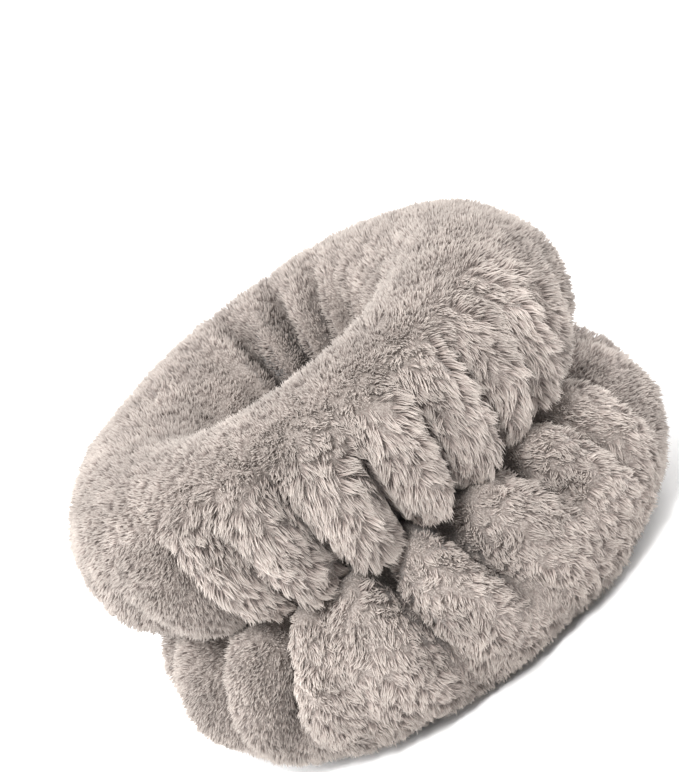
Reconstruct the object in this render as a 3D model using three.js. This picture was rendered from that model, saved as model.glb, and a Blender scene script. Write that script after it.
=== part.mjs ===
// Plush wristband for face washing: two soft gathered rolls on one elastic loop.
// Millimetres, +Z up. The origin is under the middle of the hole, on the resting plane.
// The sleeve can be pulled open front to back, so each roll is a front and a back half.
import * as THREE from "three";

// ---- driving dimensions ----
const RING_RADIUS = 36;         // from the hole's axis to the middle of each roll
const DEPTH_RATIO = 0.94;       // front-to-back size over side-to-side size
const UPPER_TUBE = 18.8;        // roll radius, out to the tips of the pile
const LOWER_TUBE = 19.3;
const TUBE_SPACING = 32;        // height between the middles of the two rolls
const REST_FLATTENING = 0.6;    // how far the lower roll flattens where it rests
const GATHER_DEPTH = 0.2;       // how far a crease pulls in at the waist, over the tube radius
const FIT_GAP = 0.3;            // between pieces that touch
const WAIST_RADIUS = 24;        // middle of the elastic loop
const ELASTIC_WIDTH = 8;
const ELASTIC_THICKNESS = 0.9;
const ELASTIC_LAP = 12;         // length over which the loop's ends are sewn together
const CHANNEL_HEIGHT = 10;      // between the two stitch rows
const CHANNEL_HALF_DEPTH = 6;   // from the elastic to the pile on each side of it
const FLEECE_BACKING = 2.6;     // one layer of fleece, pressed by the stitching
const THREAD = 0.6;
const SEAM_THICKNESS = 2.2;     // two fleece backings turned in, side by side
const SEAM_ALLOWANCE = 5;
const TURNED_EDGE = 1.4;        // thickness of the closing seam's folded edge
const TURNED_EDGE_HEIGHT = 6;

const LOWER_MIDDLE = LOWER_TUBE - REST_FLATTENING;
const UPPER_MIDDLE = LOWER_MIDDLE + TUBE_SPACING;
const WAIST_HEIGHT = (LOWER_MIDDLE + UPPER_MIDDLE) / 2;
const WAIST_OFFSET = WAIST_RADIUS - RING_RADIUS;
const ELASTIC_FACE = ELASTIC_THICKNESS + FIT_GAP / 2;   // at the lap, from the waist radius
const NOTCH_HALF_HEIGHT = CHANNEL_HEIGHT / 2 + THREAD + 2 * FIT_GAP;
const NOTCH_OUTER_OFFSET = WAIST_OFFSET + CHANNEL_HALF_DEPTH + FIT_GAP;
const STITCH_HEIGHT = CHANNEL_HEIGHT / 2 + FIT_GAP + THREAD / 2;

// Where the gathers pull in on the front half, in degrees from the front.
const UPPER_FRONT_CREASES = [-90, -68, -44.5, -32, -16.5, 2, 17, 31.5, 43, 55, 72, 90];
const LOWER_FRONT_CREASES = [-90, -66, -46, -26, -9, 12, 34, 50, 65, 77, 90];
const BACK_LOBES = 12;
const STEPS_PER_LOBE = 4;
const ROLL_SECTION_STEPS = 15;
const LOOP_STEPS = 60;

// ---- materials ----
const pileMaterial = new THREE.MeshStandardMaterial({ color: 0xaaa098, roughness: 0.95, metalness: 0 });
const backingMaterial = new THREE.MeshStandardMaterial({ color: 0x9c9089, roughness: 0.9, metalness: 0 });
const elasticMaterial = new THREE.MeshStandardMaterial({ color: 0xe6e2da, roughness: 0.7, metalness: 0 });
const threadMaterial = new THREE.MeshStandardMaterial({ color: 0xb3a89f, roughness: 0.6, metalness: 0 });

const radians = THREE.MathUtils.degToRad;
const band = new THREE.Group();

// ---- sweeping a section round the band ----

// A point of the band: angle from +X, offset out from the rolls' middle line, and height.
function ringPoint(angle, offset, height) {
  const radius = RING_RADIUS + offset;
  return [radius * Math.cos(angle), DEPTH_RATIO * radius * Math.sin(angle), height];
}

// Sweeps sections of [offset, height] corners, which run counter-clockwise, through the angles.
// A closed sweep joins its last section to its first, and an open one has two flat ends.
function sweep(angles, sectionAt, closed) {
  const sections = angles.map((angle, step) => sectionAt(angle, step));
  const corners = sections[0].length;
  const positions = [];
  sections.forEach((section, step) => {
    section.forEach(([offset, height]) => positions.push(...ringPoint(angles[step], offset, height)));
  });
  const faces = [];
  const spans = closed ? angles.length : angles.length - 1;
  for (let step = 0; step < spans; step += 1) {
    const here = step * corners;
    const next = ((step + 1) % angles.length) * corners;
    for (let corner = 0; corner < corners; corner += 1) {
      const following = (corner + 1) % corners;
      faces.push(here + corner, next + corner, next + following);
      faces.push(here + corner, next + following, here + following);
    }
  }
  if (!closed) {
    const last = (angles.length - 1) * corners;
    for (const [a, b, c] of endTriangles(sections[0])) {
      faces.push(a, b, c);
    }
    for (const [a, b, c] of endTriangles(sections[angles.length - 1])) {
      faces.push(last + a, last + c, last + b);
    }
  }
  const geometry = new THREE.BufferGeometry();
  geometry.setAttribute("position", new THREE.Float32BufferAttribute(positions, 3));
  geometry.setIndex(faces);
  return geometry;
}

function endTriangles(section) {
  const outline = section.map(([offset, height]) => new THREE.Vector2(offset, height));
  return THREE.ShapeUtils.triangulateShape(outline, []);
}

function evenAngles(from, to, steps) {
  return Array.from({ length: steps + 1 }, (_, step) => from + ((to - from) * step) / steps);
}

function loopAngles() {
  return evenAngles(0, 2 * Math.PI, LOOP_STEPS).slice(0, LOOP_STEPS);
}

function rectangle(middleOffset, middleHeight, thickness, height) {
  const inner = middleOffset - thickness / 2;
  const outer = middleOffset + thickness / 2;
  const low = middleHeight - height / 2;
  const high = middleHeight + height / 2;
  return [[inner, low], [outer, low], [outer, high], [inner, high]];
}

function addMesh(name, geometry, material) {
  const mesh = new THREE.Mesh(geometry, material);
  mesh.name = name;
  band.add(mesh);
}

// ---- the gathered rolls ----

// Angles through one half of the band, with a section on each crease and some between.
function lobeAngles(creases) {
  const angles = [];
  for (let lobe = 0; lobe < creases.length - 1; lobe += 1) {
    for (let step = 0; step < STEPS_PER_LOBE; step += 1) {
      angles.push(THREE.MathUtils.lerp(creases[lobe], creases[lobe + 1], step / STEPS_PER_LOBE));
    }
  }
  angles.push(creases[creases.length - 1]);
  return angles;
}

function frontCreases(degreesFromFront) {
  return degreesFromFront.map((degrees) => radians(degrees - 90));
}

function backCreases(phase) {
  return Array.from({ length: BACK_LOBES + 1 }, (_, lobe) => {
    const wander = 0.3 * Math.sin(2.1 * lobe + phase) * Math.sin((Math.PI * lobe) / BACK_LOBES);
    return (Math.PI * (lobe + wander)) / BACK_LOBES;
  });
}

// The upper roll's section: a round tube, flat where it lies on the lower roll, with a
// corner left out of it for the elastic's channel. Heights are from the waist.
function rollSection(tube, crease) {
  const middle = TUBE_SPACING / 2;
  const start = Math.asin((FIT_GAP - middle) / tube);
  const end = Math.PI - Math.asin((NOTCH_HALF_HEIGHT - middle) / tube);
  const section = [];
  for (let step = 0; step <= ROLL_SECTION_STEPS; step += 1) {
    const turn = THREE.MathUtils.lerp(start, end, step / ROLL_SECTION_STEPS);
    const nearWaist = Math.max(0, 0.5 - 0.5 * Math.sin(turn));
    const pulledIn = tube * (1 - GATHER_DEPTH * crease * nearWaist);
    const height = Math.max(middle + pulledIn * Math.sin(turn), FIT_GAP);
    section.push([pulledIn * Math.cos(turn), height]);
  }
  section[section.length - 1][1] = NOTCH_HALF_HEIGHT;
  section.push([NOTCH_OUTER_OFFSET, NOTCH_HALF_HEIGHT]);
  section.push([NOTCH_OUTER_OFFSET, FIT_GAP]);
  return section;
}

function upperSection(crease) {
  return rollSection(UPPER_TUBE, crease).map(([offset, height]) => [offset, WAIST_HEIGHT + height]);
}

// The lower roll is the upper one turned over, flattened on the resting plane.
function lowerSection(crease) {
  const turned = rollSection(LOWER_TUBE, crease).map(([offset, height]) => {
    return [offset, Math.max(WAIST_HEIGHT - height, 0)];
  });
  return turned.reverse();
}

function rollHalf(creases, sectionOf) {
  const half = sweep(lobeAngles(creases), (angle, step) => {
    const crease = Math.abs(Math.cos((Math.PI * step) / STEPS_PER_LOBE)) ** 3;
    return sectionOf(crease);
  }, false);
  return trimmedHalf(half, creases[0] < 0 ? -1 : 1);
}

// Squares a half's ends off clear of the other half. The side seam lies between them at -X.
function trimmedHalf(geometry, side) {
  const position = geometry.attributes.position;
  for (let i = 0; i < position.count; i += 1) {
    const onSeamSide = position.getX(i) < 0;
    const clear = onSeamSide ? SEAM_THICKNESS / 2 + FIT_GAP : FIT_GAP / 2;
    position.setY(i, side * Math.max(side * position.getY(i), clear));
  }
  return geometry;
}

function addRolls() {
  const upperFront = frontCreases(UPPER_FRONT_CREASES);
  const lowerFront = frontCreases(LOWER_FRONT_CREASES);
  addMesh("upper_roll_front", rollHalf(upperFront, upperSection), pileMaterial);
  addMesh("upper_roll_back", rollHalf(backCreases(0.4), upperSection), pileMaterial);
  addMesh("lower_roll_front", rollHalf(lowerFront, lowerSection), pileMaterial);
  addMesh("lower_roll_back", rollHalf(backCreases(2.9), lowerSection), pileMaterial);
}

// ---- the waist: two fleece walls round the elastic ----

function channelHalf(from, to, middleOffset) {
  const wall = rectangle(middleOffset, WAIST_HEIGHT, FLEECE_BACKING, CHANNEL_HEIGHT);
  const half = sweep(evenAngles(from, to, LOOP_STEPS / 2), () => wall, false);
  return trimmedHalf(half, from < 0 ? -1 : 1);
}

function addChannel() {
  const wallOffset = CHANNEL_HALF_DEPTH - FLEECE_BACKING / 2;
  const outer = WAIST_OFFSET + wallOffset;
  const inner = WAIST_OFFSET - wallOffset;
  addMesh("channel_outer_front", channelHalf(-Math.PI, 0, outer), pileMaterial);
  addMesh("channel_outer_back", channelHalf(0, Math.PI, outer), pileMaterial);
  addMesh("channel_inner_front", channelHalf(-Math.PI, 0, inner), pileMaterial);
  addMesh("channel_inner_back", channelHalf(0, Math.PI, inner), pileMaterial);
}

// ---- the elastic loop and its lap ----

// The strip goes once round and laps over its own start at the back.
function addElastic() {
  const lapAngle = ELASTIC_LAP / WAIST_RADIUS;
  const start = Math.PI / 2 - lapAngle / 2;
  const shift = (ELASTIC_THICKNESS + FIT_GAP) / 2;
  const angles = evenAngles(start, start + 2 * Math.PI + lapAngle, LOOP_STEPS + 4);
  const full = 2 * Math.PI + lapAngle;
  const strip = sweep(angles, (angle) => {
    const travelled = (angle - start) / full;
    const lift = THREE.MathUtils.lerp(-shift, shift, travelled);
    return rectangle(WAIST_OFFSET + lift, WAIST_HEIGHT, ELASTIC_THICKNESS, ELASTIC_WIDTH);
  }, false);
  addMesh("elastic_band", strip, elasticMaterial);
}

// A zigzag thread along the lap, lying on the elastic's outer face.
function addLapStitch() {
  const turns = 6;
  const swing = ELASTIC_WIDTH / 2;
  const pitch = (ELASTIC_LAP - 2) / turns;
  const threadHeight = (THREAD * Math.hypot(pitch, swing)) / pitch;
  const lowEdge = [];
  for (let turn = 0; turn <= turns; turn += 1) {
    const along = (turn - turns / 2) * pitch;
    const middle = turn % 2 === 0 ? -swing / 2 : swing / 2;
    lowEdge.push(new THREE.Vector2(along, middle - threadHeight / 2));
  }
  const highEdge = lowEdge.map((point) => new THREE.Vector2(point.x, point.y + threadHeight)).reverse();
  const zigzag = new THREE.Shape([...lowEdge, ...highEdge]);
  const geometry = new THREE.ExtrudeGeometry(zigzag, { depth: THREAD, bevelEnabled: false });
  const onElastic = WAIST_OFFSET + ELASTIC_FACE + FIT_GAP;
  const position = geometry.attributes.position;
  for (let i = 0; i < position.count; i += 1) {
    const angle = Math.PI / 2 + position.getX(i) / WAIST_RADIUS;
    const point = ringPoint(angle, onElastic + position.getZ(i), WAIST_HEIGHT + position.getY(i));
    position.setXYZ(i, ...point);
  }
  addMesh("elastic_lap_stitch", geometry, threadMaterial);
}

// ---- stitching and seams ----

function addStitchRow(name, height) {
  const row = rectangle(WAIST_OFFSET, height, THREAD, THREAD);
  addMesh(name, sweep(loopAngles(), () => row, true), threadMaterial);
}

// The panel's long edges are turned in and joined inside the channel, against its inner wall.
function addClosingSeam() {
  const offset = WAIST_OFFSET - ELASTIC_FACE - FIT_GAP - TURNED_EDGE / 2;
  const edge = rectangle(offset, WAIST_HEIGHT, TURNED_EDGE, TURNED_EDGE_HEIGHT);
  addMesh("closing_seam", sweep(loopAngles(), () => edge, true), backingMaterial);
}

// The sleeve's short ends are joined on the -X side: the turned-in edges make a C inside
// each roll, open where the elastic's channel passes.
function sideSeam(tube) {
  const pileDepth = 2;
  const outerRadius = tube - pileDepth;
  const innerRadius = outerRadius - SEAM_ALLOWANCE;
  const lowest = Math.asin((NOTCH_HALF_HEIGHT + FIT_GAP - TUBE_SPACING / 2) / outerRadius);
  const strip = new THREE.Shape();
  strip.absarc(0, 0, outerRadius, lowest, Math.PI - lowest, false);
  strip.absarc(0, 0, innerRadius, Math.PI - lowest, lowest, true);
  strip.closePath();
  const options = { depth: SEAM_THICKNESS, bevelEnabled: false, curveSegments: 16 };
  const geometry = new THREE.ExtrudeGeometry(strip, options);
  geometry.translate(0, 0, -SEAM_THICKNESS / 2);
  return geometry;
}

function addSideSeams() {
  const upper = new THREE.Mesh(sideSeam(UPPER_TUBE), backingMaterial);
  upper.name = "side_seam_upper";
  upper.rotation.x = Math.PI / 2;
  upper.position.set(-RING_RADIUS, 0, UPPER_MIDDLE);
  const lower = new THREE.Mesh(sideSeam(LOWER_TUBE), backingMaterial);
  lower.name = "side_seam_lower";
  lower.rotation.x = -Math.PI / 2;
  lower.position.set(-RING_RADIUS, 0, LOWER_MIDDLE);
  band.add(upper, lower);
}

addRolls();
addChannel();
addElastic();
addLapStitch();
addStitchRow("upper_stitch_row", WAIST_HEIGHT + STITCH_HEIGHT);
addStitchRow("lower_stitch_row", WAIST_HEIGHT - STITCH_HEIGHT);
addClosingSeam();
addSideSeams();

export default band;
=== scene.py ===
"""A plush wristband: two gathered fleece rolls on one elastic loop, standing on a pale floor."""
import math

import bmesh
import bpy
import numpy as np
from mathutils import Matrix, Vector, kdtree, noise


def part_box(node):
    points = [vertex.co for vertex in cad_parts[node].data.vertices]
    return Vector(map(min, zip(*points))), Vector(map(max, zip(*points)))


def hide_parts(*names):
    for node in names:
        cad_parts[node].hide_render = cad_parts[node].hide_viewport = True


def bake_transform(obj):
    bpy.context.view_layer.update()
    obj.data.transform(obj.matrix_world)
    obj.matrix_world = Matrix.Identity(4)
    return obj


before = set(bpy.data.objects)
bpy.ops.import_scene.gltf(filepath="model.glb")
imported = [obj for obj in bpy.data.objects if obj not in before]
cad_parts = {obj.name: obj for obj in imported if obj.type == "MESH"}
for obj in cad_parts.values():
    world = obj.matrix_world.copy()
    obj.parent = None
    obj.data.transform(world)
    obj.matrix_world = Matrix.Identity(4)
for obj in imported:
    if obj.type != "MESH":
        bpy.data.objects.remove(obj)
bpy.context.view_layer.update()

# ---- sizes in metres, in the frame's own axes ----
MM = 0.001
FULL_TURN = 2 * math.pi
RING_RADIUS = 36 * MM           # from the hole's axis to the middle of each roll
DEPTH_RATIO = 0.94              # front-to-back size over side-to-side size
TUBE_SPACING = 32 * MM          # height between the middles of the two rolls
UPPER_TUBE = 17.3 * MM          # radius of a roll at its dense undercoat, under the tips
LOWER_TUBE = 17.8 * MM
WAIST_RADIUS = 24 * MM          # middle of the elastic loop
WAIST_OFFSET = WAIST_RADIUS - RING_RADIUS
CHANNEL_CLEARANCE = 6.2 * MM    # height either side of the waist kept free for the channel

waist_low, waist_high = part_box("channel_inner_front")
WAIST_HEIGHT = (waist_low[2] + waist_high[2]) / 2
CHANNEL_HEIGHT = waist_high[2] - waist_low[2]
UPPER_MIDDLE = WAIST_HEIGHT + TUBE_SPACING / 2
LOWER_MIDDLE = WAIST_HEIGHT - TUBE_SPACING / 2

# Gathers, as (degrees from the front, depth in mm, drop at which it starts, lean in degrees).
# The drop is 0 at a roll's rim and 1 at the waist.
UPPER_FRONT_GATHERS = [
    (-90, 2.6, 0.35, 0), (-68, 1.6, 0.35, 2), (-44.5, 6.4, 0.12, 3), (-32, 6.0, 0.14, 1),
    (-16.5, 6.4, -0.01, 1), (2, 5.4, 0.23, -1), (17, 5.2, 0.20, -1), (31.5, 6.0, 0.08, -1),
    (43, 2.6, 0.34, -1), (55, 3.0, 0.28, -2), (72, 2.2, 0.34, -1), (90, 2.4, 0.34, 0),
]
LOWER_FRONT_GATHERS = [
    (-90, 2.5, 0.35, 0), (-66, 6.6, 0.16, 3), (-46, 7.4, 0.14, 10), (-26, 0.9, 0.45, 0),
    (-9, 6.6, 0.05, -2), (12, 6.4, 0.16, -4), (34, 4.4, 0.36, -3), (50, 5.4, 0.26, -2),
    (65, 3.8, 0.34, 0), (90, 3.0, 0.34, 0),
]
INNER_GATHERS = [
    (-90, 1.8, 0.2, 0), (-62, 2.2, 0.2, 0), (-36, 2.4, 0.2, 0), (-12, 2.2, 0.2, 0),
    (14, 2.4, 0.2, 0), (40, 2.2, 0.2, 0), (64, 2.4, 0.2, 0), (90, 2.2, 0.2, 0),
    (115, 2.0, 0.2, 0), (132, 3.0, 0.1, 0), (150, 6.8, -0.04, 0), (169, 7.0, -0.1, 0),
    (186, 7.2, -0.1, 0), (208, 1.2, 0.3, 0), (240, 1.0, 0.3, 0),
]
BACK_LOBES = 12
GATHER_DEPTH = 2.0              # over the depths above, because the pile fills part of each
OUTER_CREASES = 0.6             # smaller for narrower creases between fuller lobes
INNER_CREASES = 1.0
OUTER_FADE = 0.28               # drop over which an outer gather comes to its full depth
INNER_FADE = 0.18
LOBE_SWELL = 0.9 * MM


def smooth(value):
    value = np.clip(value, 0, 1)
    return value * value * (3 - 2 * value)


def unit(vectors):
    return vectors / np.maximum(np.linalg.norm(vectors, axis=-1, keepdims=True), 1e-12)


def ring_point(angle, offset, height):
    """A point of the band, from its angle from +X, offset from the rolls' middle, and height."""
    radius = RING_RADIUS + offset
    return np.stack([radius * np.cos(angle), DEPTH_RATIO * radius * np.sin(angle), height], -1)


def ring_place(points, middle, upward):
    """Angle round the band, turn round the roll (a quarter turn at its rim), and offset."""
    x, y = points[:, 0], points[:, 1] / DEPTH_RATIO
    offset = np.hypot(x, y) - RING_RADIUS
    return np.arctan2(y, x), np.arctan2((points[:, 2] - middle) * upward, offset), offset


def noise_vectors(points, scale, seed):
    shift = Vector((seed * 3.1, seed * 1.7, seed * 2.3))
    return np.array([noise.noise_vector(Vector(p) / scale + shift)[:] for p in points])


def vertex_points(mesh):
    points = np.empty(len(mesh.vertices) * 3)
    mesh.vertices.foreach_get("co", points)
    return points.reshape(-1, 3)


def move_vertices(mesh, points):
    mesh.vertices.foreach_set("co", points.ravel())
    mesh.update()


def link_piece(name, mesh):
    mesh.shade_smooth()
    piece = bpy.data.objects.new(name, mesh)
    bpy.context.scene.collection.objects.link(piece)
    return piece


def new_piece(name, bm):
    mesh = bpy.data.meshes.new(name)
    bm.to_mesh(mesh)
    bm.free()
    return link_piece(name, mesh)


# ---- the fleece, gathered by the elastic ----

def all_round(front, seed):
    """The front's gathers, and the back's evenly with some wander."""
    random = np.random.default_rng(seed)
    back = []
    for lobe in range(1, BACK_LOBES):
        degrees = 90 + 180 * (lobe + random.uniform(-0.22, 0.22)) / BACK_LOBES
        depth, start, lean = random.uniform((3.2, -0.02, -2), (6.2, 0.22, 2))
        back.append((degrees, depth, start, lean))
    return front + back


def lobe_place(angle, drop, gathers, fade):
    """The crease before each point's lobe, the lobe's width, how far across, and the pull."""
    left, width, across, pull = (np.zeros_like(angle) for _ in range(4))
    following = gathers[1:] + [(gathers[0][0] + 360, *gathers[0][1:])]
    for first, second in zip(gathers, following):
        edges = [np.radians(g[0] - 90 + g[3] * (2 * drop - 1)) for g in (first, second)]
        share = np.mod(angle - edges[0], FULL_TURN) / (edges[1] - edges[0])
        pulls = [g[1] * MM * smooth((drop - g[2]) / fade) for g in (first, second)]
        here = share < 1
        left = np.where(here, edges[0], left)
        width = np.where(here, edges[1] - edges[0], width)
        across = np.where(here, share, across)
        pull = np.where(here, pulls[0] * (1 - share) + pulls[1] * share, pull)
    return left, width, across, pull


def gather_depth(angle, drop, gathers, fade, fullness):
    """How far the fleece is pulled in, with sharp creases and round lobes between them."""
    _, _, across, pull = lobe_place(angle, drop, gathers, fade)
    return pull * (1 - np.sin(math.pi * across) ** fullness)


def outside_share(turn):
    return smooth((np.cos(turn) + 0.35) / 0.7)


def roll_valley(angle, turn, outer_gathers):
    """How deep in a gather a point of a roll lies."""
    drop = (1 - np.sin(turn)) / 2
    outside = outside_share(turn)
    outer = gather_depth(angle, drop, outer_gathers, OUTER_FADE, OUTER_CREASES)
    inner = gather_depth(angle, drop, INNER_GATHERS, INNER_FADE, INNER_CREASES)
    inner *= 1 - smooth((drop - 0.45) / 0.3)
    return outer * outside + inner * (1 - outside)


def fleece_roll(name, tube, middle, upward, gathers, droop):
    """A roll's fleece: a tube swept round the hole, then pulled in at the gathers."""
    bm = bmesh.new()
    stand = Matrix.Translation((RING_RADIUS, 0, middle)) @ Matrix.Rotation(math.pi / 2, 4, "X")
    bmesh.ops.create_circle(bm, segments=72, radius=tube, matrix=stand)
    bmesh.ops.spin(
        bm, geom=bm.verts[:] + bm.edges[:], cent=(0, 0, 0), axis=(0, 0, 1),
        angle=FULL_TURN, steps=320, use_merge=True,
    )
    bmesh.ops.recalc_face_normals(bm, faces=bm.faces)
    roll = new_piece(name, bm)
    points = vertex_points(roll.data) * (1, DEPTH_RATIO, 1)
    angle, turn, _ = ring_place(points, middle, upward)
    drop = (1 - np.sin(turn)) / 2
    outside = outside_share(turn)
    across = lobe_place(angle, drop, gathers, OUTER_FADE)[2]
    back = np.sin(math.pi * across) * outside
    tube = tube - GATHER_DEPTH * roll_valley(angle, turn, gathers)
    tube += LOBE_SWELL * back * smooth((drop - 0.2) / 0.3)
    tube += 0.7 * MM * noise_vectors(points, 11 * MM, 5)[:, 0] * outside
    offset = tube * np.cos(turn)
    beside_channel = smooth((WAIST_OFFSET + 6 * MM - offset) / (1.5 * MM))
    lowest = 0.3 * MM + (CHANNEL_CLEARANCE - 0.3 * MM) * beside_channel
    front_middle = smooth((-np.sin(angle) - 0.75) / 0.25)
    hang = droop * front_middle * np.sqrt(back) * smooth((drop - 0.45) / 0.4)
    from_waist = np.maximum(TUBE_SPACING / 2 + tube * np.sin(turn) - hang, lowest)
    move_vertices(roll.data, ring_point(angle, offset, WAIST_HEIGHT + upward * from_waist))
    # how deep in a gather each point lies, which the undercoat turns into painted shade in the creases
    set_attribute(roll.data, "valley", np.clip(roll_valley(angle, turn, gathers) / (6 * MM), 0, 1))
    return roll


# ---- the pile ----

def strand_pattern():
    """One strand: three-sided, pointed at root and tip, and thickest in between."""
    bm = bmesh.new()
    for side in (1, -1):
        half = Matrix.Translation((0, 0, side / 2)) @ Matrix.Diagonal((1, 1, side, 1))
        bmesh.ops.create_cone(bm, segments=3, radius1=1, radius2=0, depth=1, matrix=half)
    bmesh.ops.remove_doubles(bm, verts=bm.verts, dist=0.001)
    bmesh.ops.recalc_face_normals(bm, faces=bm.faces)
    bm.verts.index_update()
    corners = np.array([v.co[:] for v in bm.verts])
    faces = np.array([[v.index for v in f.verts] for f in bm.faces])
    bm.free()
    return corners, faces


def surface_samples(mesh, weight_of, count, random):
    """Points spread evenly over a mesh by area and weight, with their normals."""
    mesh.calc_loop_triangles()
    triangles = np.empty(len(mesh.loop_triangles) * 3, np.int32)
    mesh.loop_triangles.foreach_get("vertices", triangles)
    triangles = triangles.reshape(-1, 3)
    points = vertex_points(mesh)
    normals = np.empty(len(mesh.vertices) * 3)
    mesh.vertex_normals.foreach_get("vector", normals)
    normals = normals.reshape(-1, 3)
    a, b, c = (points[triangles[:, corner]] for corner in range(3))
    area = np.linalg.norm(np.cross(b - a, c - a), axis=1) / 2
    weight = np.cumsum(area * weight_of((a + b + c) / 3))
    steps = (np.arange(count) + random.random(count)) / count
    chosen = np.searchsorted(weight / weight[-1], steps)
    u, v = random.random(count), random.random(count)
    over = u + v > 1
    u[over], v[over] = 1 - u[over], 1 - v[over]
    share = np.stack([1 - u - v, u, v], 1)[:, :, None]
    corners = triangles[chosen]
    return (points[corners] * share).sum(1), unit((normals[corners] * share).sum(1))


def tucked_in(points, middle, upward):
    """Which points lie between the two rolls or over the channel, where no pile grows."""
    _, _, offset = ring_place(points, middle, upward)
    near_waist = np.abs(points[:, 2] - WAIST_HEIGHT) < CHANNEL_CLEARANCE + 0.3 * MM
    return near_waist & (offset < 6 * MM) & (offset > WAIST_OFFSET - 3 * MM)


def roll_sites(skin, middle, upward, gathers, style, random):
    """Where a roll's wisps stand: place, normal, brushed direction, how combed, and length."""
    def weight(points):
        _, _, offset = ring_place(points, middle, upward)
        seldom_seen = np.maximum(smooth(-offset / (10 * MM)) * 0.25, 0.5 * (points[:, 2] < 3 * MM))
        return np.where(tucked_in(points, middle, upward), 0, 1 - seldom_seen)

    place, normal = surface_samples(skin.data, weight, style["wisps"], random)
    angle, turn, _ = ring_place(place, middle, upward)
    radial = np.stack([np.cos(angle), DEPTH_RATIO * np.sin(angle), np.zeros_like(angle)], 1)
    rise = (0, 0, upward)
    cos_turn, sin_turn = np.cos(turn)[:, None], np.sin(turn)[:, None]
    normal = unit(normal + 1.6 * unit(radial * cos_turn + rise * sin_turn))
    brushed = style["brushed"] * (radial * sin_turn - rise * cos_turn)
    facing = 0.05 + 0.95 * smooth((np.abs(np.sin(angle - 0.14)) - 0.5) / 0.25)
    on_face = smooth((np.cos(turn) - 0.1) / 0.5) * smooth((style["face_edge"] - np.sin(turn)) / 0.55)
    combed = on_face * facing
    drop, outside = (1 - np.sin(turn)) / 2, outside_share(turn)
    outer = lobe_place(angle, drop, gathers, OUTER_FADE)
    inner = lobe_place(angle, drop, INNER_GATHERS, INNER_FADE)
    left, width, across, pull = (np.where(outside > 0.5, a, b) for a, b in zip(outer, inner))
    valley = np.clip(roll_valley(angle, turn, gathers) / (6 * MM), 0, 1)
    tangent = np.stack([-np.sin(angle), np.cos(angle), np.zeros_like(angle)], 1)
    fan = style["fan"] * (2 * across - 1) * combed * (1 - valley)
    brushed = brushed + tangent * fan[:, None]
    parting = smooth(pull / (3 * MM)) * np.abs(2 * outside - 1)
    length = RIM_PILE + (style["face_pile"] - RIM_PILE) * combed
    length *= 1 - 0.7 * valley
    length *= random.uniform(0.85, 1.1, len(place))
    to_waist = np.abs(place[:, 2] - WAIST_HEIGHT) + style["overhang"]
    room = to_waist / np.maximum(-normal[:, 2] * upward, 0.12)
    room = np.minimum(room, (place[:, 2] - 0.3 * MM) / np.maximum(-normal[:, 2], 0.12))
    length = np.clip(length, 0.8 * MM, np.maximum(room, 0.8 * MM))
    return place, normal, brushed, combed, length, valley, (left, width, parting)


def waist_sites(skin, style, random):
    """Where the wisps stand on the channel's wall inside the hole."""
    def on_hole_side(points):
        return (ring_place(points, WAIST_HEIGHT, 1)[2] < WAIST_OFFSET - 4.2 * MM).astype(float)

    place, normal = surface_samples(skin.data, on_hole_side, style["wisps"], random)
    brushed = np.tile((0.0, 0.0, 1.0), (len(place), 1))
    combed = np.full(len(place), 0.2)
    length = 1.8 * MM * random.uniform(0.85, 1.1, len(place))
    return place, normal, brushed, combed, length, np.zeros(len(place)), (-math.pi, FULL_TURN, 0)


def grow_pile(name, sites, style, random):
    """Pile from its sites: fine strands in wisps, one piece for each sector of the ring."""
    place, normal, brushed, combed, length, valley, lobe = sites
    count, each = len(place), style["strands"]
    brushed = unit(brushed - normal * (brushed * normal).sum(1, keepdims=True))
    combed = combed[:, None]
    lean = style["rim_lean"] + (style["face_lean"] - style["rim_lean"]) * combed
    wander = noise_vectors(place, 5 * MM, 3) + noise_vectors(place, 1.6 * MM, 4)
    wander *= 0.45 + style["wander"] * combed
    heading = unit(normal * (1 - lean * 0.55) + brushed * lean + wander)
    lift = (heading * normal).sum(1, keepdims=True)
    heading = unit(heading + normal * np.maximum(0.25 - lift, 0))
    peak = gather_locks(place, place + heading * length[:, None], combed, style, random)

    across = unit(np.cross(normal, brushed))
    around = random.uniform(0, FULL_TURN, (count, each, 1))
    apart = np.cos(around) * across[:, None] + np.sin(around) * brushed[:, None]
    apart *= style["spread"] * np.sqrt(random.random((count, each, 1)))
    root = place[:, None] + apart - normal[:, None] * style["root_depth"]
    closing = 1 - (1 - style["open"]) * combed[:, None]
    tip = peak[:, None] + apart * closing + random.normal(0, style["stray"], (count, each, 3))
    tip = root + (tip - root) * random.uniform(0.78, 1.06, (count, each, 1))
    tip = kept_in_lobe(tip, *lobe)
    arch = normal[:, None] * length[:, None, None] * 0.12 * random.uniform(0.4, 1.6, (count, each, 1))
    shade = random.normal(0, 0.5, (count, 1)) + random.normal(0, 0.5, (count, each))
    # random patches of tone, and painted shade in the creases: strands darker with the depth of the gather
    shade += 2 * noise_vectors(place, 7 * MM, 6)[:, :1] - 3.2 * valley[:, None]
    # painted shade where the pile is short, on the rims, the sides and in the hole: darker than the locks on
    # the faces
    shade += 1.1 * combed - 0.9
    as_fleece = normal * (3.2 - 2 * combed)
    turned = np.mod(np.arctan2(place[:, 1], place[:, 0]) + math.pi / 2, FULL_TURN) / FULL_TURN
    pieces = []
    for sector in range(style["sectors"]):
        mine = (turned * style["sectors"]).astype(int) == sector
        pieces.append(strands_piece(
            f"{name}_{sector + 1}", root[mine].reshape(-1, 3), tip[mine].reshape(-1, 3),
            arch[mine].reshape(-1, 3), np.repeat(as_fleece[mine], each, 0), shade[mine].ravel(),
            style["width"], random,
        ))
    return pieces


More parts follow.
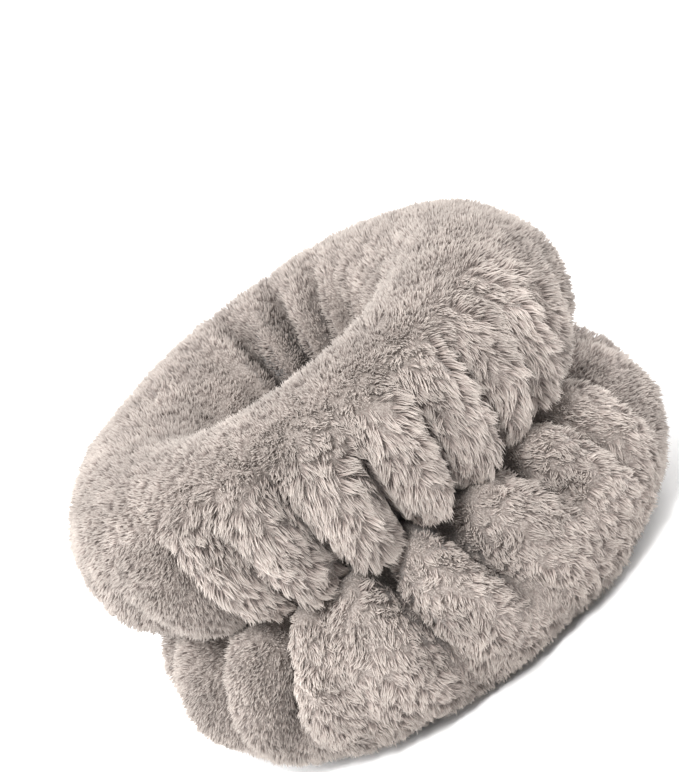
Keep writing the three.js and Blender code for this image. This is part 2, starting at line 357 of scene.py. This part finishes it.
def kept_in_lobe(tips, left, width, parting):
    """Turns tips that cross a crease back to their own side of it."""
    left, width, parting = (np.reshape(value, (-1, 1)) for value in (left, width, parting))
    x, y = tips[..., 0], tips[..., 1] / DEPTH_RATIO
    past_left = np.mod(np.arctan2(y, x) - left - width / 2 + math.pi, FULL_TURN) - math.pi
    turn = (np.clip(past_left, -0.45 * width, 0.45 * width) - past_left) * parting
    turned = [x * np.cos(turn) - y * np.sin(turn), x * np.sin(turn) + y * np.cos(turn)]
    return np.stack([turned[0], DEPTH_RATIO * turned[1], tips[..., 2]], -1)


def gather_locks(place, peak, combed, style, random):
    """Draws the tips of neighbouring wisps together into locks."""
    locks = random.choice(len(place), len(place) // style["wisps_per_lock"], replace=False)
    tree = kdtree.KDTree(len(locks))
    for index, lock in enumerate(locks):
        tree.insert(place[lock], index)
    tree.balance()
    nearest = locks[[tree.find(point)[1] for point in place]]
    return peak + (peak[nearest] - peak) * combed * style["lock_pull"]


def strands_piece(name, root, tip, arch, as_fleece, shade, width, random):
    """One mesh of many strands, each a copy of the strand pattern laid from root to tip."""
    corners, faces = STRAND
    count, per_strand = len(root), len(corners)
    along = np.where(corners[:, 2] < -0.5, 0, np.where(corners[:, 2] > 0.5, 1, THICKEST))
    direction = unit(tip - root)
    side_a = unit(np.cross(direction, random.normal(0, 1, (count, 3))))
    side_b = np.cross(direction, side_a)
    path = root[:, None] + (tip - root)[:, None] * along[None, :, None]
    path += arch[:, None] * (4 * along * (1 - along))[None, :, None]
    round_it = corners[None, :, :1] * side_a[:, None] + corners[None, :, 1:2] * side_b[:, None]
    points = path + round_it * (width / 2) * random.uniform(0.75, 1.25, (count, 1, 1))
    points[:, :, 2] = np.maximum(points[:, :, 2], 0.05 * MM)
    vertex_of = (faces[None] + (np.arange(count) * per_strand)[:, None, None]).reshape(-1, 3)
    mesh = bpy.data.meshes.new(name)
    mesh.vertices.add(count * per_strand)
    mesh.vertices.foreach_set("co", points.ravel())
    mesh.loops.add(vertex_of.size)
    mesh.loops.foreach_set("vertex_index", vertex_of.ravel())
    mesh.polygons.add(len(vertex_of))
    mesh.polygons.foreach_set("loop_start", np.arange(0, vertex_of.size, 3))
    mesh.update(calc_edges=True)
    set_attribute(mesh, "along", np.tile(along, count))
    set_attribute(mesh, "shade", np.repeat(shade, per_strand))
    strand_uv(mesh, vertex_of.ravel(), count, corners, along)
    strands = link_piece(name, mesh)
    shading = unit(round_it + as_fleece[:, None])
    mesh.normals_split_custom_set_from_vertices(shading.reshape(-1, 3))
    return strands


def set_attribute(mesh, name, values):
    attribute = mesh.attributes.new(name, "FLOAT", "POINT")
    attribute.data.foreach_set("value", values.astype(np.float32))


def strand_uv(mesh, vertex_of, count, corners, along):
    """A grid of cells, one for each strand, with the root low in its cell and the tip high."""
    grid = math.ceil(math.sqrt(count))
    strand, corner = np.divmod(vertex_of, len(corners))
    u = (strand % grid + 0.5 + 0.3 * corners[corner, 0]) / grid
    v = (strand // grid + 0.15 + 0.7 * along[corner]) / grid
    layer = mesh.uv_layers.new(name="OFBake")
    layer.data.foreach_set("uv", np.stack([u, v], 1).ravel().astype(np.float32))


# ---- the waist, the elastic, the stitching and the seams ----

def swept_ring(name, corners):
    """A profile of (offset, height from the waist) corners, swept once round the band."""
    bm = bmesh.new()
    verts = [bm.verts.new((RING_RADIUS + offset, 0, WAIST_HEIGHT + height)) for offset, height in corners]
    for first, second in zip(verts, verts[1:] + verts[:1]):
        bm.edges.new((first, second))
    bmesh.ops.spin(
        bm, geom=bm.verts[:] + bm.edges[:], cent=(0, 0, 0), axis=(0, 0, 1),
        angle=FULL_TURN, steps=RING_STEPS, use_merge=True,
    )
    bmesh.ops.recalc_face_normals(bm, faces=bm.faces)
    bmesh.ops.scale(bm, vec=(1, DEPTH_RATIO, 1), verts=bm.verts)
    return new_piece(name, bm)


def straight_strip(name, corners, length, steps):
    """A closed profile of (thickness, width) corners, drawn out along X and closed at its ends."""
    bm = bmesh.new()
    verts = [bm.verts.new((0, thick, wide)) for thick, wide in corners]
    for first, second in zip(verts, verts[1:] + verts[:1]):
        bm.edges.new((first, second))
    bmesh.ops.spin(
        bm, geom=bm.verts[:] + bm.edges[:], cent=(0, 0, 0), axis=(0, 0, 1),
        dvec=(length / steps, 0, 0), angle=0, steps=steps,
    )
    bmesh.ops.holes_fill(bm, edges=[e for e in bm.edges if e.is_boundary], sides=0)
    bmesh.ops.recalc_face_normals(bm, faces=bm.faces)
    return new_piece(name, bm)


def bend_strip(strip, points):
    """Lays a straight strip's points where they belong, with its faces still outwards."""
    move_vertices(strip.data, points)
    bm = bmesh.new()
    bm.from_mesh(strip.data)
    bmesh.ops.recalc_face_normals(bm, faces=bm.faces)
    bm.to_mesh(strip.data)
    bm.free()
    return strip


def rounded_profile(middle, half_thick, half_wide, ribs=0):
    """A strip's outline: round at both edges, with lengthwise ribs on both faces if asked."""
    turns = np.arange(PROFILE_STEPS) / PROFILE_STEPS * FULL_TURN
    thick = np.sign(np.cos(turns)) * np.abs(np.cos(turns)) ** 0.4
    wide = np.sign(np.sin(turns)) * np.abs(np.sin(turns)) ** 0.9
    thick = thick * (1 - 0.18 * (0.5 + 0.5 * np.cos(ribs * math.pi * wide)) * (ribs > 0))
    return list(zip(middle + half_thick * thick, half_wide * wide))


def waist_wall(name, side):
    """One fleece wall of the elastic's channel, puckered where the elastic draws it in."""
    profile = rounded_profile(WAIST_OFFSET + side * 3.9 * MM, 0.9 * MM, CHANNEL_HEIGHT / 2)
    wall = swept_ring(name, profile)
    points = vertex_points(wall.data)
    angle, _, offset = ring_place(points, WAIST_HEIGHT, 1)
    pucker = 0.4 * MM * np.sin(22 * angle + 1.2 * np.sin(5 * angle))
    move_vertices(wall.data, ring_point(angle, offset + pucker, points[:, 2]))
    return wall


def elastic_loop():
    """The elastic, once round and lapped over its own start at the back."""
    lap_angle = ELASTIC_LAP / WAIST_RADIUS
    whole = FULL_TURN + lap_angle
    profile = rounded_profile(0, ELASTIC_THICKNESS / 2, ELASTIC_WIDTH / 2, ribs=9)
    loop = straight_strip("elastic_loop", profile, whole * WAIST_RADIUS, RING_STEPS)
    points = vertex_points(loop.data)
    along = points[:, 0] / WAIST_RADIUS
    lift = (along / whole - 0.5) * (ELASTIC_THICKNESS + LAP_GAP)
    angle = math.pi / 2 - lap_angle / 2 + along
    offset = WAIST_OFFSET + lift + points[:, 1]
    return bend_strip(loop, ring_point(angle, offset, WAIST_HEIGHT + points[:, 2]))


def thread_piece(name, paths, thickness, closed):
    """Threads along paths, as one mesh of round tubes."""
    curve = bpy.data.curves.new(name, "CURVE")
    curve.dimensions = "3D"
    curve.bevel_depth = thickness / 2
    curve.bevel_resolution = 1
    curve.use_fill_caps = True
    for path in paths:
        spline = curve.splines.new("POLY")
        spline.points.add(len(path) - 1)
        spline.points.foreach_set("co", np.insert(path, 3, 1, axis=1).ravel())
        spline.use_cyclic_u = closed
    guide = bpy.data.objects.new(name, curve)
    bpy.context.scene.collection.objects.link(guide)
    bpy.context.view_layer.update()
    mesh = bpy.data.meshes.new_from_object(guide.evaluated_get(bpy.context.evaluated_depsgraph_get()))
    bpy.data.objects.remove(guide)
    bpy.data.curves.remove(curve)
    bm = bmesh.new()
    bm.from_mesh(mesh)
    bpy.data.meshes.remove(mesh)
    bmesh.ops.remove_doubles(bm, verts=bm.verts, dist=0.001 * MM)
    bmesh.ops.recalc_face_normals(bm, faces=bm.faces)
    return new_piece(name, bm)


def stitch_row(name, height):
    """A lockstitch row: one thread on each side, meeting at the needle holes."""
    angle = np.linspace(0, FULL_TURN, 8 * STITCHES_PER_ROW, endpoint=False)
    between_holes = np.abs(np.sin(angle * STITCHES_PER_ROW / 2)) ** 0.6
    level = np.full_like(angle, height)
    paths = [
        ring_point(angle, WAIST_OFFSET + side * (0.22 + 0.5 * between_holes) * MM, level)
        for side in (1, -1)
    ]
    return thread_piece(name, paths, STITCH_THREAD, True)


def lap_zigzag():
    """The zigzag thread that sews the elastic's lap."""
    turns = 2 * LAP_ZIGZAGS
    along = np.linspace(-0.42, 0.42, turns + 1) * ELASTIC_LAP
    swing = np.where(np.arange(turns + 1) % 2, 1, -1) * ELASTIC_WIDTH * 0.28
    angle = math.pi / 2 + along / WAIST_RADIUS
    offset = np.full_like(angle, WAIST_OFFSET + ELASTIC_THICKNESS + LAP_GAP + STITCH_THREAD / 2)
    return thread_piece("lap_zigzag", [ring_point(angle, offset, WAIST_HEIGHT + swing)], STITCH_THREAD, False)


def closing_seam():
    """The panel's long edges, turned in and oversewn against the channel's inner wall."""
    middle = WAIST_OFFSET - ELASTIC_THICKNESS - LAP_GAP - TURNED_EDGE / 2
    fold = swept_ring("closing_seam_fold", rounded_profile(middle, TURNED_EDGE / 2, 3 * MM, ribs=1))
    turns = np.linspace(0, FULL_TURN, 10 * OVERSEWN_TURNS, endpoint=False)
    round_fold = turns * OVERSEWN_TURNS
    offset = middle + (TURNED_EDGE / 2 + 0.15 * MM) * np.cos(round_fold)
    height = WAIST_HEIGHT + 3.15 * MM * np.sin(round_fold)
    oversewing = thread_piece("closing_seam_thread", [ring_point(turns, offset, height)], 0.3 * MM, True)
    return fold, oversewing


def side_seam(name, tube, middle, upward, gathers):
    """The sleeve's joined ends: two turned-in backings that follow the inside of a roll."""
    turn_from, turn_to = -0.3, math.pi + 0.3
    profile = rounded_profile(0, 1.1 * MM, SEAM_ALLOWANCE / 2, ribs=1)
    seam = straight_strip(name, profile, turn_to - turn_from, 90)
    points = vertex_points(seam.data)
    turn = turn_from + points[:, 0]
    ground = tube - GATHER_DEPTH * roll_valley(np.full_like(turn, math.pi), turn, gathers)
    radius = ground - 1.2 * MM - SEAM_ALLOWANCE / 2 + points[:, 2]
    across = RING_RADIUS + radius * np.cos(turn)
    height = middle + upward * radius * np.sin(turn)
    return bend_strip(seam, np.stack([-across, points[:, 1], height], -1))


# ---- materials ----

def new_material(name, roughness, sheen):
    material = bpy.data.materials.new(name)
    material.use_nodes = True
    shader = material.node_tree.nodes["Principled BSDF"]
    shader.inputs["Roughness"].default_value = roughness
    shader.inputs["Sheen Weight"].default_value = sheen
    shader.inputs["Sheen Roughness"].default_value = 0.45
    shader.inputs["Specular IOR Level"].default_value = 0.25
    return material, material.node_tree, shader


def srgb(red, green, blue):
    def linear(value):
        value /= 255
        return value / 12.92 if value <= 0.04045 else ((value + 0.055) / 1.055) ** 2.4
    return (linear(red), linear(green), linear(blue), 1)


def add_node(tree, kind, **settings):
    node = tree.nodes.new(kind)
    for name, value in settings.items():
        setattr(node, name, value)
    return node


def add_ramp(tree, factor, *stops):
    """A colour ramp with (position, colour) stops, driven by a factor."""
    ramp = add_node(tree, "ShaderNodeValToRGB")
    for _ in stops[2:]:
        ramp.color_ramp.elements.new(0.5)
    for element, (position, colour) in zip(ramp.color_ramp.elements, stops):
        element.position = position
        element.color = colour
    tree.links.new(factor, ramp.inputs["Fac"])
    return ramp.outputs["Color"]


def add_bump(tree, shader, height, strength, distance):
    bump = add_node(tree, "ShaderNodeBump")
    bump.inputs["Strength"].default_value = strength
    bump.inputs["Distance"].default_value = distance
    tree.links.new(height, bump.inputs["Height"])
    tree.links.new(bump.outputs["Normal"], shader.inputs["Normal"])


def pile_material():
    """Fine matt strands, darker at their roots, each a little lighter or darker than the next, with painted
    shade in creases and where the pile is short.
    """
    material, tree, shader = new_material("plush_pile", 0.75, 0.3)
    shader.inputs["Sheen Tint"].default_value = srgb(235, 225, 218)
    along = add_node(tree, "ShaderNodeAttribute", attribute_name="along")
    colour = add_ramp(
        tree, along.outputs["Fac"],
        (0, srgb(82, 69, 64)), (0.45, srgb(143, 131, 125)), (1, srgb(190, 181, 173)),
    )
    shade = add_node(tree, "ShaderNodeAttribute", attribute_name="shade")
    # the shade attribute: random tone, with painted shade in the creases and where the pile is short
    brightness = add_node(tree, "ShaderNodeMapRange")
    brightness.inputs["From Min"].default_value = -4
    brightness.inputs["From Max"].default_value = 2
    brightness.inputs["To Min"].default_value = 0.52
    brightness.inputs["To Max"].default_value = 1.2
    tree.links.new(shade.outputs["Fac"], brightness.inputs["Value"])
    shaded = add_node(tree, "ShaderNodeVectorMath", operation="SCALE")
    tree.links.new(colour, shaded.inputs[0])
    tree.links.new(brightness.outputs["Result"], shaded.inputs["Scale"])
    tree.links.new(shaded.outputs["Vector"], shader.inputs["Base Color"])
    return material


def undercoat_material():
    """The dense pile between the wisps, seen end on: light tips, with painted shade in the gaps and the
    creases.
    """
    material, tree, shader = new_material("plush_undercoat", 0.9, 0.2)
    position = add_node(tree, "ShaderNodeTexCoord")
    tips = add_node(tree, "ShaderNodeTexVoronoi")
    tips.inputs["Scale"].default_value = 2600
    tree.links.new(position.outputs["Object"], tips.inputs["Vector"])
    # painted shade in the gaps: darker away from each fibre tip
    colour = add_ramp(
        tree, tips.outputs["Distance"], (0, srgb(164, 155, 149)), (0.8, srgb(122, 113, 107)),
    )
    # painted shade in the creases: darker with the depth of the gather
    valley = add_node(tree, "ShaderNodeAttribute", attribute_name="valley")
    painted_crease_shade = add_node(tree, "ShaderNodeMapRange")
    painted_crease_shade.inputs["To Min"].default_value = 1
    painted_crease_shade.inputs["To Max"].default_value = 0.4
    tree.links.new(valley.outputs["Fac"], painted_crease_shade.inputs["Value"])
    shaded = add_node(tree, "ShaderNodeVectorMath", operation="SCALE")
    tree.links.new(colour, shaded.inputs[0])
    tree.links.new(painted_crease_shade.outputs["Result"], shaded.inputs["Scale"])
    tree.links.new(shaded.outputs["Vector"], shader.inputs["Base Color"])
    gaps = add_node(tree, "ShaderNodeMath", operation="MULTIPLY")
    gaps.inputs[1].default_value = -1
    tree.links.new(tips.outputs["Distance"], gaps.inputs[0])
    add_bump(tree, shader, gaps.outputs["Value"], 0.5, 0.3 * MM)
    return material


def woven_material(name, light, dark, pitch, roughness):
    """Yarn in fine crossing ribs: knitted backing, braided elastic or twisted thread."""
    material, tree, shader = new_material(name, roughness, 0.15)
    position = add_node(tree, "ShaderNodeTexCoord")
    ribs = []
    for direction in ("X", "Z"):
        wave = add_node(tree, "ShaderNodeTexWave", bands_direction=direction)
        wave.inputs["Scale"].default_value = 1 / (FULL_TURN / 2 * pitch)
        wave.inputs["Distortion"].default_value = 1.5
        wave.inputs["Detail Scale"].default_value = 3
        tree.links.new(position.outputs["Object"], wave.inputs["Vector"])
        ribs.append(wave.outputs["Fac"])
    weave = add_node(tree, "ShaderNodeMath", operation="MULTIPLY")
    tree.links.new(ribs[0], weave.inputs[0])
    tree.links.new(ribs[1], weave.inputs[1])
    colour = add_ramp(tree, weave.outputs["Value"], (0, dark), (0.7, light))
    tree.links.new(colour, shader.inputs["Base Color"])
    add_bump(tree, shader, weave.outputs["Value"], 0.6, 0.15 * MM)
    return material


def floor_material():
    material, tree, shader = new_material("pale_floor", 0.9, 0)
    position = add_node(tree, "ShaderNodeTexCoord")
    grain = add_node(tree, "ShaderNodeTexNoise")
    grain.inputs["Scale"].default_value = 40
    tree.links.new(position.outputs["Object"], grain.inputs["Vector"])
    colour = add_ramp(tree, grain.outputs["Fac"], (0.3, (0.91, 0.91, 0.91, 1)), (0.7, (0.93, 0.93, 0.93, 1)))
    tree.links.new(colour, shader.inputs["Base Color"])
    return material


# ---- the band ----
RING_STEPS = 240
PROFILE_STEPS = 32
ELASTIC_WIDTH = 8 * MM
ELASTIC_THICKNESS = 0.9 * MM
ELASTIC_LAP = 12 * MM
LAP_GAP = 0.3 * MM
LAP_ZIGZAGS = 6
STITCH_THREAD = 0.5 * MM
STITCHES_PER_ROW = 50
TURNED_EDGE = 1.3 * MM
OVERSEWN_TURNS = 60
SEAM_ALLOWANCE = 5 * MM
STRAND = strand_pattern()
THICKEST = 0.6                  # how far along a strand it is thickest
SECTORS = 6                     # pieces of pile on each roll
ROLL_STYLE = {
    "wisps": 17900, "strands": 8, "spread": 1.0 * MM, "open": 0.62, "stray": 0.16 * MM,
    "width": 0.25 * MM, "wander": 0.5, "rim_lean": 0.3, "root_depth": 0.8 * MM,
    "sectors": SECTORS,
}
RIM_PILE = 1.8 * MM
UPPER_STYLE = {
    **ROLL_STYLE, "face_pile": 4.4 * MM, "face_lean": 1.05, "brushed": 1, "fan": 0.5,
    "overhang": 0.3 * MM, "wisps_per_lock": 5, "lock_pull": 0.4, "face_edge": 1,
}
LOWER_STYLE = {
    **ROLL_STYLE, "face_pile": 2.9 * MM, "face_lean": 0.9, "brushed": -1, "fan": 0.3,
    "overhang": 0.2 * MM, "wisps_per_lock": 4, "lock_pull": 0.45, "face_edge": 1.12,
}
WAIST_STYLE = {**LOWER_STYLE, "wisps": 1000, "face_lean": 0.3, "sectors": 1}

pile = pile_material()
undercoat = undercoat_material()
backing = woven_material("knit_backing", srgb(178, 167, 160), srgb(120, 109, 102), 0.9 * MM, 0.9)
braid = woven_material("elastic_braid", srgb(232, 228, 219), srgb(176, 170, 160), 0.7 * MM, 0.7)
thread = woven_material("twisted_thread", srgb(196, 186, 178), srgb(150, 140, 132), 0.35 * MM, 0.6)


def finish_piece(piece, material, slot, *replaced):
    """Gives the piece its material and bakes in its placement; the slot is not used. Hides the parts it
    replaces.
    """
    piece.data.materials.append(material)
    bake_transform(piece)
    if replaced:
        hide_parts(*replaced)


def make_roll(side, tube, middle, upward, gathers, style, droop, seeds):
    """One fleece roll with its pile and the side seam inside it."""
    random = np.random.default_rng(seeds[1])
    gathers = all_round(gathers, seeds[0])
    roll = fleece_roll(f"{side}_roll_fleece", tube, middle, upward, gathers, droop)
    sites = roll_sites(roll, middle, upward, gathers, style, random)
    for strands in grow_pile(f"{side}_pile", sites, style, random):
        finish_piece(strands, pile, "plush_pile")
    finish_piece(roll, undercoat, "plush_pile", f"{side}_roll_front", f"{side}_roll_back")
    seam = side_seam(f"{side}_side_seam", tube, middle, upward, gathers)
    finish_piece(seam, backing, "fleece_backing", f"side_seam_{side}")


make_roll("upper", UPPER_TUBE, UPPER_MIDDLE, 1, UPPER_FRONT_GATHERS, UPPER_STYLE, 1.5 * MM, (11, 21))
make_roll("lower", LOWER_TUBE, LOWER_MIDDLE, -1, LOWER_FRONT_GATHERS, LOWER_STYLE, 0, (12, 22))

outer_wall = waist_wall("waist_outer_wall", 1)
inner_wall = waist_wall("waist_inner_wall", -1)
waist_random = np.random.default_rng(23)
for waist_pile in grow_pile("waist_pile", waist_sites(inner_wall, WAIST_STYLE, waist_random), WAIST_STYLE, waist_random):
    finish_piece(waist_pile, pile, "plush_pile")
finish_piece(outer_wall, undercoat, "fleece_backing", "channel_outer_front", "channel_outer_back")
finish_piece(inner_wall, undercoat, "fleece_backing", "channel_inner_front", "channel_inner_back")
finish_piece(elastic_loop(), braid, "elastic_braid", "elastic_band")
finish_piece(lap_zigzag(), thread, "thread", "elastic_lap_stitch")
for side, upward in (("upper", 1), ("lower", -1)):
    row = stitch_row(f"{side}_stitches", WAIST_HEIGHT + upward * (CHANNEL_HEIGHT / 2 + 0.6 * MM))
    finish_piece(row, thread, "thread", f"{side}_stitch_row")
fold, oversewing = closing_seam()
finish_piece(fold, backing, "fleece_backing", "closing_seam")
finish_piece(oversewing, thread, "thread")


# ---- stage, light and camera ----

def pale_floor():
    bm = bmesh.new()
    bmesh.ops.create_circle(bm, cap_ends=True, segments=64, radius=4)
    floor = new_piece("floor", bm)
    floor.data.materials.append(floor_material())


def area_light(name, place, target, size, power):
    light = bpy.data.lights.new(name, "AREA")
    light.shape = "DISK"
    light.size = size
    light.energy = power
    lamp = bpy.data.objects.new(name, light)
    lamp.location = place
    lamp.rotation_euler = (Vector(target) - Vector(place)).to_track_quat("-Z", "Y").to_euler()
    bpy.context.scene.collection.objects.link(lamp)


def studio():
    world = bpy.data.worlds.new("studio")
    world.use_nodes = True
    world.node_tree.nodes["Background"].inputs["Color"].default_value = (1, 1, 1, 1)
    world.node_tree.nodes["Background"].inputs["Strength"].default_value = 0.66
    bpy.context.scene.world = world
    bpy.context.scene.view_settings.view_transform = "Standard"
    middle = (0, 0, WAIST_HEIGHT)
    area_light("key", (-0.1, -0.65, 0.7), middle, 0.3, 10.2)
    area_light("left_edge", (-0.85, 0.1, 0.35), middle, 1.1, 16)
    area_light("back_fill", (0.1, 0.9, 0.55), middle, 1.1, 5)
    area_light("right_edge", (0.85, 0.1, 0.4), middle, 1.1, 12)


def camera():
    """Level with the photographer's eye, turned so that the band leans to the left."""
    elevation = math.radians(17.5)
    roll = math.radians(37)
    distance = 0.621
    lens = bpy.data.cameras.new("camera")
    lens.lens = 150
    lens.sensor_width = 36
    backward = Vector((0, -math.cos(elevation), math.sin(elevation)))
    level_right = Vector((1, 0, 0))
    level_up = backward.cross(level_right)
    right = level_right * math.cos(roll) - level_up * math.sin(roll)
    up = level_right * math.sin(roll) + level_up * math.cos(roll)
    place = Vector((0, 0, WAIST_HEIGHT)) + backward * distance
    place += level_right * PICTURE_RIGHT + level_up * PICTURE_UP
    turned = Matrix((right, up, backward)).transposed().to_4x4()
    viewer = bpy.data.objects.new("camera", lens)
    viewer.matrix_world = Matrix.Translation(place) @ turned
    bpy.context.scene.collection.objects.link(viewer)
    bpy.context.scene.camera = viewer


PICTURE_RIGHT = 6.5 * MM        # from the band's waist to the middle of the picture
PICTURE_UP = 17.0 * MM
pale_floor()
studio()
camera()
